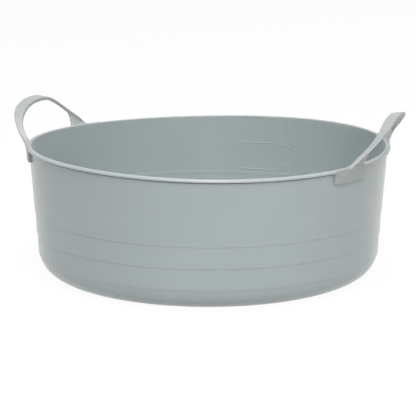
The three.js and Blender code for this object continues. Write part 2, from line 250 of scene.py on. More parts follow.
class GrainGroup:
    """Shader group for the moulded skin: soft mottling, streaks of flow up the wall and fine grain.

    Each noise is given by its scale, detail and roughness.
    """

    NAME = "moulded_skin"
    CLOUD = (26.0, 3.0, 0.5)
    PATCH = (7.0, 2.0, 0.5)
    FLOW = (34.0, 2.0, 0.6)
    GRAIN = (2600.0, 2.0, 0.6)
    PEBBLE = (900.0, 2.0, 0.5)
    FINE = (420.0, 4.0, 0.7)
    SCRATCH = (1.0, 3.0, 0.6)
    SCRATCH_TURN = (0.5, 0.9, 0.3)
    SCRATCH_STRETCH = (16.0, 240.0, 900.0)
    SCRATCH_BAND = (0.63, 0.74)
    WORN_BAND = (0.46, 0.6)
    PATCH_SHARE = 0.55
    GRAIN_SHARE = 0.35
    SHADE_GAIN = 2.0
    SCUFF_DEPTH = 0.6
    SCUFF_ROUGHNESS = 1.6
    DARKEST = (0.13, 0.15, 0.15, 1.0)
    PALEST = (0.82, 0.86, 0.86, 1.0)
    AXIS_GUARD = 0.001

    @classmethod
    def flow_place(cls, kit: NodeKit, place: bpy.types.NodeSocket) -> bpy.types.NodeSocket:
        """Gives places on a unit cylinder round the axis, which draw the flow into upright streaks.

        Args:
            kit: Kit of the group's tree.
            place: Object coordinates.

        Returns:
            The places for the flow's noise.
        """
        x, y, z = kit.add("ShaderNodeSeparateXYZ", {0: place}).outputs
        squares = kit.math("MULTIPLY_ADD", x, x, kit.math("MULTIPLY", y, y))
        outward = kit.math("MAXIMUM", kit.math("SQRT", squares), cls.AXIS_GUARD)
        values = {0: kit.math("DIVIDE", x, outward), 1: kit.math("DIVIDE", y, outward), 2: z}
        return kit.add("ShaderNodeCombineXYZ", values).outputs[0]

    @classmethod
    def tree(cls) -> bpy.types.NodeTree:
        """Gives the group, built on first use.

        Returns:
            The group's tree.
        """
        if cls.NAME in bpy.data.node_groups:
            return bpy.data.node_groups[cls.NAME]
        takes = [
            ("Tone", "NodeSocketColor", None),
            ("Mottle", "NodeSocketFloat", 0.05),
            ("Streaks", "NodeSocketFloat", 0.03),
            ("Gloss", "NodeSocketFloat", 0.45),
            ("Gloss Spread", "NodeSocketFloat", 0.08),
            ("Scuffs", "NodeSocketFloat", 0.05),
        ]
        gives = [
            ("Colour", "NodeSocketColor"),
            ("Roughness", "NodeSocketFloat"),
            ("Height", "NodeSocketFloat"),
        ]
        tree, kit, entry, leave = new_group(cls.NAME, "ShaderNodeTree", takes, gives)
        place = kit.add("ShaderNodeTexCoord").outputs["Object"]
        cloud = kit.noise(place, *cls.CLOUD)
        patch = kit.noise(place, *cls.PATCH)
        flow = kit.noise(cls.flow_place(kit, place), *cls.FLOW)
        grain = kit.noise(place, *cls.GRAIN)
        pebble = kit.noise(place, *cls.PEBBLE)
        fine = kit.noise(place, *cls.FINE)
        stretch = {"Vector": place, "Rotation": cls.SCRATCH_TURN, "Scale": cls.SCRATCH_STRETCH}
        scratch = kit.noise(kit.add("ShaderNodeMapping", stretch).outputs[0], *cls.SCRATCH)
        worn = kit.span(patch, *cls.WORN_BAND)
        scuff = kit.math("MULTIPLY", kit.span(scratch, *cls.SCRATCH_BAND), worn)

        clouds = kit.math("MULTIPLY", cloud, 1.0 - cls.PATCH_SHARE)
        mottle = kit.math("MULTIPLY_ADD", patch, cls.PATCH_SHARE, clouds)
        shade = kit.math("MULTIPLY", kit.math("SUBTRACT", mottle, 0.5), entry["Mottle"])
        shade = kit.math("MULTIPLY_ADD", kit.math("SUBTRACT", flow, 0.5), entry["Streaks"], shade)
        shade = kit.math("MULTIPLY_ADD", scuff, entry["Scuffs"], shade)
        darker = kit.math("MULTIPLY", shade, -cls.SHADE_GAIN, clamp=True)
        paler = kit.math("MULTIPLY", shade, cls.SHADE_GAIN, clamp=True)
        toned = kit.mix(paler, kit.mix(darker, entry["Tone"], cls.DARKEST), cls.PALEST)

        spread = entry["Gloss Spread"]
        rough = kit.math("MULTIPLY_ADD", kit.math("SUBTRACT", fine, 0.5), spread, entry["Gloss"])
        rough = kit.math("MULTIPLY_ADD", kit.math("SUBTRACT", cloud, 0.5), spread, rough)
        dulled = kit.math("MULTIPLY", entry["Scuffs"], cls.SCUFF_ROUGHNESS)
        rough = kit.math("MULTIPLY_ADD", scuff, dulled, rough)

        height = kit.math("MULTIPLY", scuff, -cls.SCUFF_DEPTH)
        height = kit.math("MULTIPLY_ADD", pebble, 1.0 - cls.GRAIN_SHARE, height)
        height = kit.math("MULTIPLY_ADD", grain, cls.GRAIN_SHARE, height)
        for name, value in (("Colour", toned), ("Roughness", rough), ("Height", height)):
            tree.links.new(value, leave.inputs[name])
        return tree


@dataclass(frozen=True)
class MouldedFinish:
    """One finish of the soft plastic."""

    name: str
    tone: tuple[float, float, float]
    mottle: float = 0.05
    streaks: float = 0.03
    gloss: float = 0.23
    gloss_spread: float = 0.08
    scuffs: float = 0.05
    bump: float = 0.12
    grain_depth: float = 0.00012
    specular: float = 0.5
    sheen: float = 0.12
    sheen_roughness: float = 0.35
    ior: float = 1.51

    def material(self) -> bpy.types.Material:
        """Builds the finish as a material.

        Returns:
            A material of one Principled shader, fed by the moulded skin group.
        """
        made = bpy.data.materials.new(self.name)
        made.use_nodes = True
        made.diffuse_color = (*self.tone, 1.0)
        kit = NodeKit(made.node_tree)
        shader = made.node_tree.nodes["Principled BSDF"]
        values = {
            "Tone": (*self.tone, 1.0),
            "Mottle": self.mottle,
            "Streaks": self.streaks,
            "Gloss": self.gloss,
            "Gloss Spread": self.gloss_spread,
            "Scuffs": self.scuffs,
        }
        skin = kit.add("ShaderNodeGroup", values, node_tree=GrainGroup.tree()).outputs
        relief = {"Strength": self.bump, "Distance": self.grain_depth, "Height": skin["Height"]}
        bump = kit.add("ShaderNodeBump", relief).outputs[0]
        feeds = {"Base Color": skin["Colour"], "Roughness": skin["Roughness"], "Normal": bump}
        for socket, value in feeds.items():
            made.node_tree.links.new(value, shader.inputs[socket])
        plain = {
            "Specular IOR Level": self.specular,
            "Sheen Weight": self.sheen,
            "Sheen Roughness": self.sheen_roughness,
            "IOR": self.ior,
        }
        for socket, value in plain.items():
            shader.inputs[socket].default_value = value
        return made


SAGE = (0.379, 0.431, 0.433)
# Paler, greyer copy of SAGE for the lip: painted highlight, standing in for the sheen on the lip's lit top;
# the plastic is one colour.
PALE_SAGE_PAINTED_HIGHLIGHT = (0.398, 0.432, 0.433)
# Darker, greyer copy of SAGE for the handles and their lugs: painted shade, with the grey of specular sheen
# painted in; the plastic is one colour.
GRIP_SAGE_PAINTED_SHADE_AND_SHEEN = (0.357, 0.377, 0.375)


class Finishes:
    """The finishes of the tub, one material each."""

    def __init__(self) -> None:
        """Builds the materials."""
        bowl = MouldedFinish("satin_bowl", SAGE, mottle=0.07, streaks=0.02, scuffs=0.012)
        # The lip's paler, greyer tone is painted highlight; only its scuffs are real wear.
        lip = MouldedFinish("worn_lip_painted_highlight", PALE_SAGE_PAINTED_HIGHLIGHT, mottle=0.04, streaks=0.0, gloss=0.36)
        # The handles' darker, greyer tone is painted shade and painted sheen; only their scuffs are real
        # wear.
        handle = MouldedFinish(
            "smooth_handle_painted_shade", GRIP_SAGE_PAINTED_SHADE_AND_SHEEN, mottle=0.04, streaks=0.0, gloss=0.44, scuffs=0.02
        )
        mark = MouldedFinish("raised_mark", SAGE, mottle=0.03, streaks=0.0, gloss=0.42)
        self.bowl = bowl.material()
        self.lip = lip.material()
        self.handle = handle.material()
        self.mark = mark.material()


def link(name: str, mesh: bpy.types.Mesh) -> bpy.types.Object:
    """Puts a mesh into the scene as a piece.

    Args:
        name: Name of the piece.
        mesh: The mesh.

    Returns:
        The new piece.
    """
    piece = bpy.data.objects.new(name, mesh)
    bpy.context.scene.collection.objects.link(piece)
    return piece


def soften(mesh: bpy.types.Mesh, sharp_degrees: float) -> None:
    """Shades a mesh smooth, apart from edges sharper than an angle."""
    mesh.shade_smooth()
    mesh.set_sharp_from_angle(angle=math.radians(sharp_degrees))


def face_outward(mesh: bpy.types.Mesh) -> None:
    """Turns a closed mesh's faces outward if its volume says they point in.

    Args:
        mesh: The mesh, which is changed in place.
    """
    mesh.calc_loop_triangles()
    corners = np.zeros(len(mesh.vertices) * 3)
    mesh.vertices.foreach_get("co", corners)
    corners = corners.reshape(-1, 3)
    index = np.zeros(len(mesh.loop_triangles) * 3, dtype=np.int32)
    mesh.loop_triangles.foreach_get("vertices", index)
    a, b, c = (corners[index.reshape(-1, 3)[:, k]] for k in range(3))
    if float(np.einsum("ij,ij->i", a, np.cross(b, c)).sum()) < 0.0:
        mesh.flip_normals()


class SweepTree:
    """Geometry Nodes that sweep a section round the upright axis and bend the result into the saddle."""

    NAME = "sweep_round_axis"
    MERGE_DISTANCE = 2e-6
    AXIS_GUARD = 1e-9

    @classmethod
    def saddle_offset(cls, kit: NodeKit, entry: bpy.types.NodeOutputs) -> bpy.types.NodeSocket:
        """Works out how far the saddle lifts a point.

        Args:
            kit: Kit of the tree.
            entry: Sockets of the tree's inputs.

        Returns:
            The offset of each point.
        """
        place = kit.add("GeometryNodeInputPosition").outputs[0]
        x, y, z = kit.add("ShaderNodeSeparateXYZ", {0: place}).outputs
        reach = kit.math("MULTIPLY_ADD", x, x, kit.math("MULTIPLY_ADD", y, y, cls.AXIS_GUARD))
        twist = kit.math("DIVIDE", kit.math("MULTIPLY", kit.math("MULTIPLY", x, y), 2.0), reach)
        share = kit.math("DIVIDE", z, entry["Full Height"], clamp=True)
        sides = kit.math("DIVIDE", kit.math("MULTIPLY", x, x), reach)
        sides = kit.math("MULTIPLY", sides, entry["Side Lift"])
        warp = kit.math("MULTIPLY_ADD", twist, entry["Saddle Height"], sides)
        lift = kit.math("MULTIPLY", kit.math("MULTIPLY", share, share), warp)
        return kit.add("ShaderNodeCombineXYZ", {2: lift}).outputs[0]

    @classmethod
    def tree(cls) -> bpy.types.NodeTree:
        """Gives the tree, built on first use.

        Returns:
            The tree.
        """
        if cls.NAME in bpy.data.node_groups:
            return bpy.data.node_groups[cls.NAME]
        takes = [
            ("Section", "NodeSocketGeometry", None),
            ("Path Radius", "NodeSocketFloat", 0.1),
            ("Steps Round", "NodeSocketInt", 256),
            ("Saddle Height", "NodeSocketFloat", 0.0),
            ("Side Lift", "NodeSocketFloat", 0.0),
            ("Full Height", "NodeSocketFloat", 0.1),
            ("Finish", "NodeSocketMaterial", None),
        ]
        gives = [("Swept", "NodeSocketGeometry")]
        tree, kit, entry, leave = new_group(cls.NAME, "GeometryNodeTree", takes, gives)
        section = kit.add("GeometryNodeMeshToCurve", {0: entry["Section"]}).outputs[0]
        circle = {"Resolution": entry["Steps Round"], "Radius": entry["Path Radius"]}
        path = kit.add("GeometryNodeCurvePrimitiveCircle", circle).outputs[0]
        swept = kit.add("GeometryNodeCurveToMesh", {"Curve": path, "Profile Curve": section}).outputs[0]
        weld = {"Geometry": swept, "Distance": cls.MERGE_DISTANCE}
        merged = kit.add("GeometryNodeMergeByDistance", weld).outputs[0]
        offset = cls.saddle_offset(kit, entry)
        bent = kit.add("GeometryNodeSetPosition", {"Geometry": merged, "Offset": offset}).outputs[0]
        real = kit.add("GeometryNodeRealizeInstances", {"Geometry": bent}).outputs[0]
        dress = {"Geometry": real, "Material": entry["Finish"]}
        done = kit.add("GeometryNodeSetMaterial", dress).outputs[0]
        tree.links.new(done, leave.inputs[0])
        return tree


def run_tree(name: str, source: bpy.types.Mesh, tree: bpy.types.NodeTree, values: dict) -> bpy.types.Object:
    """Runs a Geometry Nodes tree on a mesh and keeps the result as a plain piece.

    Args:
        name: Name of the finished piece.
        source: Mesh that the tree starts from.
        tree: The tree.
        values: Value of each named input.

    Returns:
        The piece, with no modifier left on it.
    """
    worker = link(name + "_source", source)
    modifier = worker.modifiers.new("build", "NODES")
    modifier.node_group = tree
    for item in tree.interface.items_tree:
        if item.item_type == "SOCKET" and item.in_out == "INPUT" and item.name in values:
            modifier[item.identifier] = values[item.name]
    bpy.context.view_layer.update()
    graph = bpy.context.evaluated_depsgraph_get()
    mesh = bpy.data.meshes.new_from_object(worker.evaluated_get(graph))
    worker.modifiers.remove(modifier)
    bpy.data.objects.remove(worker)
    mesh.name = name
    return link(name, mesh)


@dataclass
class Bowl:
    """The turned bowl and the lip on it."""

    finishes: Finishes
    steps_round: int = 288
    path_radius: float = 100.0
    corner: float = 20.8
    inner_corner: float = 19.2
    recess: float = 1.5
    floor_thickness: float = 2.8
    foot_width: float = 8.0
    lip_height: float = 2.5
    lip_seat: float = 3.5
    lip_inner_seat: float = 1.0
    lip_inner_ease: float = 0.6
    lip_outer_ease: float = 1.6
    lip_lower_ease: float = 0.35
    lip_fillet: float = 0.2
    lip_groove: float = 0.55
    lip_crown: float = 0.3
    lip_toe: tuple[float, float] = (0.12, 0.1)
    groove_rise: float = 0.5
    flare: float = 0.3
    flare_reach: float = 5.0
    line_heights: tuple[float, ...] = (51.2, 34.0, 16.8)
    line_step: float = 0.5
    line_reach: float = 14.0
    ripple_height: float = 51.0
    ripple_length: float = 6.0
    ripple_depth: float = 0.08
    line_edge: float = 0.15
    line_band: float = 0.6
    wall_rows: int = 26
    line_rows: int = 13
    flare_rows: int = 22
    inside_rows: int = 120
    corner_steps: int = 40
    inner_corner_steps: int = 22
    wall_gap: float = 0.4
    inside_gap: float = 1.0
    floor_radii: tuple[float, ...] = (90.0, 60.0, 30.0, 0.0)
    gate_outline: tuple = ((0.0, 0.1), (0.9, 0.1), (1.4, 0.5), (6.2, 0.5), (7.0, 0.0))
    ring_radii: tuple[float, ...] = (46.0, 82.0)
    ring_half: float = 1.4
    ring_relief: float = 0.18
    foot_upper_ease: tuple = ((-0.5, 0.0), (0.15, -0.2))
    foot_lower_ease: tuple = ((-0.35, 0.25), (0.2, 0.0))
    sharp_degrees: float = 38.0

    def corner_centre(
        self, radius_at: Callable[[float], float], floor: float, radius: float
    ) -> tuple[float, float]:
        """Centre of the arc that joins a wall to a level floor."""
        height = floor + radius
        return radius_at(height) - radius / math.cos(TUB.tilt), height

    def flared(self, z: float) -> float:
        """Radius of the wall's outside, which flares softly out into the lip.

        Args:
            z: Height above the ground.

        Returns:
            The radius.
        """
        under = TUB.height - self.lip_height
        share = min(max((z - under + self.flare_reach) / self.flare_reach, 0.0), 1.0)
        return TUB.outer(z) + self.flare * share**3

    def rippled(self, z: float) -> float:
        """Radius of the wall's inside, with the faint bead behind the uppermost moulded line.

        Args:
            z: Height above the ground.

        Returns:
            The radius.
        """
        place = (z - self.ripple_height) / self.ripple_length
        near = 1.0 - float(smoothstep(0.5, 1.0, np.abs(place)))
        return TUB.inner(z) - self.ripple_depth * near * math.sin(2.0 * math.pi * place)

    def stepped(self, points: list) -> list:
        """Sets the outside in a little below each moulded line.

        Args:
            points: Pairs of radius and height.

        Returns:
            The same points, with the steps in them.
        """
        done = []
        for r, z in points:
            inset = 0.0
            for level in self.line_heights:
                step_in = float(smoothstep(-self.line_edge, self.line_edge, level - z))
                run_out = float(smoothstep(0.0, self.line_reach, level - z))
                inset += self.line_step * step_in * (1.0 - run_out)
            done.append((r - inset, z))
        return done

    def wall_heights(self, low: float, high: float) -> np.ndarray:
        """Heights along the outer wall, close together at the moulded lines.

        Args:
            low: Lowest height.
            high: Highest height.

        Returns:
            The heights in rising order.
        """
        rows = [np.linspace(low, high, self.wall_rows)]
        band = np.linspace(-self.line_band, self.line_band, self.line_rows)
        rows += [level + band for level in self.line_heights if low < level < high]
        rows.append(np.linspace(high - self.flare_reach, high, self.flare_rows))
        heights = np.unique(np.round(np.concatenate(rows), 4))
        return heights[(heights >= low) & (heights <= high)]

    def underside(self, foot_inner: float) -> list:
        """Section of the base's underside, with its gate mark, two faint rings and the foot's inner edge.

        Args:
            foot_inner: Radius of the foot ring's inner edge on the ground.

        Returns:
            Pairs of radius and height, from the axis outward.
        """
        level = self.recess
        points = [(r, level + depth) for r, depth in self.gate_outline]
        for ring in self.ring_radii:
            across = np.linspace(-1.0, 1.0, 9)
            bead = [level - self.ring_relief * (1.0 + math.cos(math.pi * t)) for t in across]
            points += [(ring + self.ring_half * t, z) for t, z in zip(across, bead)]
        points += [(foot_inner - level + r, level + z) for r, z in self.foot_upper_ease]
        points += [(foot_inner + r, z) for r, z in self.foot_lower_ease]
        return points

    def bowl_section(self) -> np.ndarray:
        """Section of the bowl from the axis underneath to the axis on the floor.

        Returns:
            Rows of radius and height.
        """
        centre = self.corner_centre(TUB.outer, 0.0, self.corner)
        tilt = math.degrees(TUB.tilt)
        seat = TUB.height - self.lip_seat
        points = self.underside(centre[0] - self.foot_width)
        outside = arc(centre, self.corner, -90.0, -tilt, self.corner_steps)
        heights = self.wall_heights(outside[-1][1] + self.wall_gap, seat)
        outside += [(self.flared(z), z) for z in heights]
        points += self.stepped(outside)
        floor = self.recess + self.floor_thickness
        inner_centre = self.corner_centre(TUB.inner, floor, self.inner_corner)
        inside = arc(inner_centre, self.inner_corner, -tilt, -90.0, self.inner_corner_steps)
        inner_seat = TUB.height - self.lip_inner_seat
        rows = np.linspace(inner_seat, inside[0][1] + self.inside_gap, self.inside_rows)
        points += [(self.rippled(z), z) for z in rows]
        points += inside
        points += [(r, floor) for r in self.floor_radii]
        return np.array(points)

    def lip_section(self) -> np.ndarray:
        """Closed section of the lip, from its seat on the wall over the top and back underneath.

        Returns:
            Rows of radius and height.
        """
        top = TUB.height
        seat = top - self.lip_seat
        under = top - self.lip_height
        outer = TUB.rim_radius
        crown = self.lip_crown
        inner_top = top - crown
        a, b, c, d = self.lip_inner_ease, self.lip_outer_ease, self.lip_lower_ease, self.lip_fillet
        points = [(TUB.inner(top - self.lip_inner_seat), top - self.lip_inner_seat)]
        points += arc((TUB.inner(inner_top - a) + a, inner_top - a), a, 180.0, 90.0, 8)
        reach = (TUB.inner(top) + a, outer - b)
        for share in (0.2, 0.4, 0.6, 0.8):
            points.append((np.interp(share, (0, 1), reach), top - crown * (2.0 * share - 1.0) ** 2))
        points += arc((outer - b, inner_top - b), b, 90.0, 0.0, 8)
        points += arc((outer - c, under + c), c, 0.0, -90.0, 6)
        groove = self.flared(under) - self.lip_groove
        points += arc((groove + d, under - d), d, 90.0, 180.0, 6)
        toe = self.flared(seat)
        toe_in, toe_up = self.lip_toe
        points += [(groove, seat + self.groove_rise), (toe - toe_in, seat + toe_up), (toe, seat)]
        return np.array(points)

    def swept(
        self, name: str, section: np.ndarray, closed: bool, finish: bpy.types.Material
    ) -> bpy.types.Object:
        """Sweeps a section round the axis.

        Args:
            name: Name of the piece.
            section: Rows of radius and height.
            closed: Whether the section's last point joins its first.
            finish: The piece's material.

        Returns:
            The finished piece.
        """
        count = len(section)
        corners = [((r - self.path_radius) * MM, -z * MM, 0.0) for r, z in section]
        edges = [(k, k + 1) for k in range(count - 1)]
        if closed:
            edges.append((count - 1, 0))
        source = bpy.data.meshes.new(name + "_section")
        source.from_pydata(corners, edges, [])
        values = {
            "Path Radius": self.path_radius * MM,
            "Steps Round": self.steps_round,
            "Saddle Height": TUB.saddle * MM,
            "Side Lift": TUB.side_lift * MM,
            "Full Height": TUB.height * MM,
            "Finish": finish,
        }
        piece = run_tree(name, source, SweepTree.tree(), values)
        face_outward(piece.data)
        soften(piece.data, self.sharp_degrees)
        return piece

    def build(self) -> list[bpy.types.Object]:
        """Makes the bowl and the lip and sets them on the tub.

        Returns:
            The finished pieces.
        """
        shell = self.swept("bowl", self.bowl_section(), False, self.finishes.bowl)
        lip = self.swept("lip", self.lip_section(), True, self.finishes.lip)
        for piece, node in ((shell, "tub_shell"), (lip, "rim_band")):
            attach(piece, "tub")
            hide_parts(node)
        return [shell, lip]


class FieldMesher:
    """Turns a field that is negative inside a body into an even mesh of its surface."""

    NUDGE = 0.02
    LEAST_SLOPE = 0.2

    def __init__(self, body: Callable[..., np.ndarray], low: tuple, high: tuple, step: float) -> None:
        """Takes the field and the grid to search it on.

        Args:
            body: The field, called with three coordinates.
            low: Lowest corner of the box to search.
            high: Highest corner of the box to search.
            step: Size of the grid's steps.
        """
        self.body = body
        self.low = np.array(low)
        self.step = step
        self.axes = [np.arange(a, b + step, step) for a, b in zip(low, high)]

    def grid(self) -> np.ndarray:
        """Values of the field on the whole grid."""
        x, y, z = self.axes
        return self.body(x[:, None, None], y[None, :, None], z[None, None, :])

    def nets(self) -> tuple[np.ndarray, np.ndarray]:
        """Places one corner in each cell that the surface crosses and joins them in quads.

        Returns:
            Corners in millimetres and faces of four corners each.
        """
        values = self.grid()
        inside = values < 0.0
        cells = tuple(n - 1 for n in values.shape)
        total = np.zeros((*cells, 3))
        hits = np.zeros(cells)
        crossings = []
        for axis in range(3):
            first = [slice(None)] * 3
            second = [slice(None)] * 3
            first[axis], second[axis] = slice(0, -1), slice(1, None)
            crossed = inside[tuple(first)] != inside[tuple(second)]
            here = np.argwhere(crossed)
            crossings.append((axis, here, inside[tuple(first)][crossed]))
            start, end = values[tuple(first)][crossed], values[tuple(second)][crossed]
            share = start / (start - end)
            others = [k for k in range(3) if k != axis]
            for da in (0, 1):
                for db in (0, 1):
                    cell = here.copy()
                    cell[:, others[0]] -= da
                    cell[:, others[1]] -= db
                    place = here.astype(float)
                    place[:, axis] += share
                    fits = np.all((cell >= 0) & (cell < np.array(cells)), axis=1)
                    index = tuple(cell[fits].T)
                    np.add.at(total, index, place[fits])
                    np.add.at(hits, index, 1.0)
        used = hits > 0
        number = np.full(cells, -1)
        number[used] = np.arange(int(used.sum()))
        corners = total[used] / hits[used][:, None] * self.step + self.low
        faces = []
        for axis, here, starts_inside in crossings:
            others = [(axis + 1) % 3, (axis + 2) % 3]
            ring = []
            for da, db in ((1, 1), (0, 1), (0, 0), (1, 0)):
                cell = here.copy()
                cell[:, others[0]] -= da
                cell[:, others[1]] -= db
                ring.append(number[tuple(np.clip(cell, 0, np.array(cells) - 1).T)])
            quads = np.stack(ring, axis=1)
            quads[~starts_inside] = quads[~starts_inside][:, ::-1]
            faces.append(quads)
        return corners, np.concatenate(faces)

    def gradient(self, points: np.ndarray, values: np.ndarray) -> np.ndarray:
        """Slope of the field at some points.

        Args:
            points: Places, one row each.
            values: The field's values there.

        Returns:
            The slope along each axis, one row for each point.
        """
        slopes = []
        for axis in range(3):
            moved = points.copy()
            moved[:, axis] += self.NUDGE
            slopes.append((self.body(*moved.T) - values) / self.NUDGE)
        return np.stack(slopes, axis=1)

    def settle(self, points: np.ndarray) -> np.ndarray:
        """Moves corners onto the surface.

        Args:
            points: Places near the surface, one row each.

        Returns:
            The places after one step towards the surface.
        """
        values = self.body(*points.T)
        slope = self.gradient(points, values)
        size = np.maximum((slope * slope).sum(axis=1), self.LEAST_SLOPE)
        move = -slope * (values / size)[:, None]
        return points + np.clip(move, -self.step, self.step)

    def mesh(self, rounds: int = 4) -> tuple[np.ndarray, np.ndarray, np.ndarray]:
        """Meshes the surface, evened out and settled on it.

        Args:
            rounds: How often the corners are evened out and settled again.

        Returns:
            Corners in millimetres, faces of four corners each and the surface's normal at each corner.
        """
        corners, faces = self.nets()
        pairs = np.concatenate([faces[:, [k, (k + 1) % 4]] for k in range(4)])
        for _ in range(rounds):
            total = np.zeros_like(corners)
            count = np.zeros(len(corners))
            np.add.at(total, pairs[:, 0], corners[pairs[:, 1]])
            np.add.at(total, pairs[:, 1], corners[pairs[:, 0]])
            np.add.at(count, pairs[:, 0], 1.0)
            np.add.at(count, pairs[:, 1], 1.0)
            corners = 0.5 * corners + 0.5 * total / count[:, None]
            corners = self.settle(self.settle(corners))
        normals = self.gradient(corners, self.body(*corners.T))
        sizes = np.linalg.norm(normals, axis=1, keepdims=True)
        return corners, faces, normals / np.maximum(sizes, 1e-6)


def mesh_of(
    name: str, corners: np.ndarray, faces: np.ndarray, normals: np.ndarray, finish: bpy.types.Material
) -> bpy.types.Mesh:
    """Makes a smooth Blender mesh from millimetre corners.

    Args:
        name: The mesh's name.
        corners: Corners in millimetres.
        faces: Corners of each face.
        normals: Normal of the true surface at each corner.
        finish: The mesh's material.

    Returns:
        The mesh, shaded by the given normals.
    """
    mesh = bpy.data.meshes.new(name)
    mesh.from_pydata((corners * MM).tolist(), [], faces.tolist())
    mesh.materials.append(finish)
    face_outward(mesh)
    mesh.shade_smooth()
    mesh.normals_split_custom_set_from_vertices(normals.tolist())
    return mesh


@dataclass(frozen=True)
class HandleSet:
    """How the soft plastic of one handle has set: extra rise, and a lean of the grip along its length."""

    rise: float
    lean: float


HANDLE_SETS = {
    Side.RIGHT: HandleSet(rise=-1.05, lean=0.04),
    Side.LEFT: HandleSet(rise=-0.55, lean=0.0),
}


@dataclass
class StrapHandle:
    """One handle of the moulding: an arched strap on two webs, with a lug under each end."""

    side: Side
    finishes: Finishes
    span: float = 125.0
    rise: float = 30.2
    reach: float = 23.15
    grip_width: float = 9.0
    leg_width: float = 5.6
    root_width: float = 3.1
    thickness: float = 2.7
    ease: float = 0.8
    grip_cant: float = 1.2
    leg_cant: float = 3.8
    edge_share: float = 0.88
    leg_edge_share: float = 0.42
    arch_power: float = 2.45
    reach_power: float = 4.4
    root_share: float = 1.06
    root_run: float = 3.0
    face_overrun: float = 0.3
    cant_zone: tuple[float, float] = (0.3, 0.75)
    cant_fade: int = 8
    thin_zone: tuple[float, float] = (0.4, 0.9)
    taper_zone: tuple[float, float] = (0.88, 1.0)
    web_thickness: float = 2.6
    web_edge: float = 46.3
    web_lean: float = 0.45
    web_fillet: float = 3.4
    web_ease: float = 0.9
    web_bury: float = 0.5
    web_root: float = 1.6
    web_least: float = 2.0
    web_overrun: float = 0.2
    lug_width: float = 35.0
    lug_shift: float = 0.3
    lug_draft: float = 0.04
    lug_drop: float = 11.4
    lug_corner: float = 1.0
    lug_ease: float = 0.5
    lug_root: float = 1.1
    lug_half_tall: float = 9.0
    lug_cover: float = 0.9
    lip_inset: float = 0.5
    lip_half_tall: float = 1.1
    lip_ease: float = 0.8
    lip_fade: tuple[float, float] = (-1.5, 1.0)
    lip_sink: float = 1.2
    ridge_lead: float = 1.0
    ridge_run: float = 10.5
    ridge_set_back: tuple[float, float] = (0.35, 1.1)
    ridge_drop: tuple[float, float] = (0.7, 6.0)
    ridge_radius: float = 0.9
    strap_fillet: float = 0.8
    ridge_fillet: float = 0.8
    lug_fillet: float = 0.3
    root_fillet: float = 1.2
    mouth_gap: float = 0.6
    proud: float = 0.06
    slope_step: float = 0.05
    grid_step: float = 0.42
    grid_low: tuple[float, float, float] = (119.0, -81.0, 91.5)
    grid_high: tuple[float, float, float] = (161.5, 81.0, 141.0)
    bend_place: float = 145.0
    bend_start: float = 105.8
    bend_end: float = 122.0

    @property
    def half_span(self) -> float:
        """Distance from the middle of the handle to a root."""
        return self.span / 2.0

    @property
    def root_outer(self) -> float:
        """Place of a root's outer edge, on the lip's edge."""
        return math.sqrt(TUB.rim_radius**2 - self.half_span**2)

    @property
    def lug_middle(self) -> float:
        """Angle of a lug's middle round the axis."""
        return math.asin(self.half_span / TUB.rim_radius) + self.lug_shift / TUB.rim_radius

    def strap(self, y: np.ndarray) -> dict[str, np.ndarray]:
        """Lines that a strap's four edges follow.

        Args:
            y: Distance from the middle of the handle, with its sign.

        Returns:
            Inner and outer edge, their heights above and below, and the share of the half span.
        """
        share = np.minimum(np.abs(y) / self.half_span, self.root_share)
        arch = 1.0 - share**self.arch_power
        slope = self.rise * self.arch_power / self.half_span * share ** (self.arch_power - 1.0)
        outer = self.root_outer + self.reach * (1.0 - share**self.reach_power)
        width = self.leg_width + (self.grip_width - self.leg_width) * np.maximum(arch, 0.0)
        width = width - (self.leg_width - self.root_width) * smoothstep(*self.taper_zone, share)
        set_in = HANDLE_SETS[self.side]
        top = TUB.height + (self.rise + set_in.rise + set_in.lean * y) * arch
        tall = self.thickness * np.sqrt(1.0 + slope**2)
        cant = self.grip_cant + (self.leg_cant - self.grip_cant) * smoothstep(*self.cant_zone, share)
        lift = cant * np.maximum(1.0 - share**self.cant_fade, 0.0)
        thinner = smoothstep(*self.thin_zone, share)
        thin = self.edge_share + (self.leg_edge_share - self.edge_share) * thinner
        return {
            "inner": outer - width,
            "outer": outer,
            "inner_top": top,
            "outer_top": top + lift,
            "inner_low": top - tall,
            "outer_low": top + lift - tall * thin,
        }

    def strap_face(self, x: np.ndarray, y: np.ndarray, which: str) -> np.ndarray:
        """Height of the strap's upper or lower face.

        Args:
            x: Distance from the axis towards the handle.
            y: Distance from the middle of the handle, with its sign.
            which: "top" or "low".

        Returns:
            The height.
        """
        line = self.strap(y)
        width = line["outer"] - line["inner"]
        across = np.clip((x - line["inner"]) / width, -self.face_overrun, 1.0 + self.face_overrun)
        return line["inner_" + which] + (line["outer_" + which] - line["inner_" + which]) * across

    def over_face(self, x: np.ndarray, y: np.ndarray, z: np.ndarray, which: str) -> np.ndarray:
        """Distance above one of the strap's faces.

        Args:
            x: Distance from the axis towards the handle.
            y: Distance from the middle of the handle, with its sign.
            z: Height above the ground.
            which: "top" or "low".

        Returns:
            The distance, negative below the face.
        """
        nudge = self.slope_step
        face = self.strap_face(x, y, which)
        slope_x = (self.strap_face(x + nudge, y, which) - face) / nudge
        slope_y = (self.strap_face(x, y + nudge, which) - face) / nudge
        return (z - face) / np.sqrt(1.0 + slope_x**2 + slope_y**2)

    def past_edge(self, x: np.ndarray, y: np.ndarray, which: str) -> np.ndarray:
        """Distance outside one of the strap's upright edges, counted outward.

        Args:
            x: Distance from the axis towards the handle.
            y: Distance from the middle of the handle, with its sign.
            which: "inner" or "outer".

        Returns:
            The distance.
        """
        nudge = self.slope_step
        edge, ahead = self.strap(y)[which], self.strap(y + nudge)[which]
        return (x - edge) / np.sqrt(1.0 + ((ahead - edge) / nudge) ** 2)

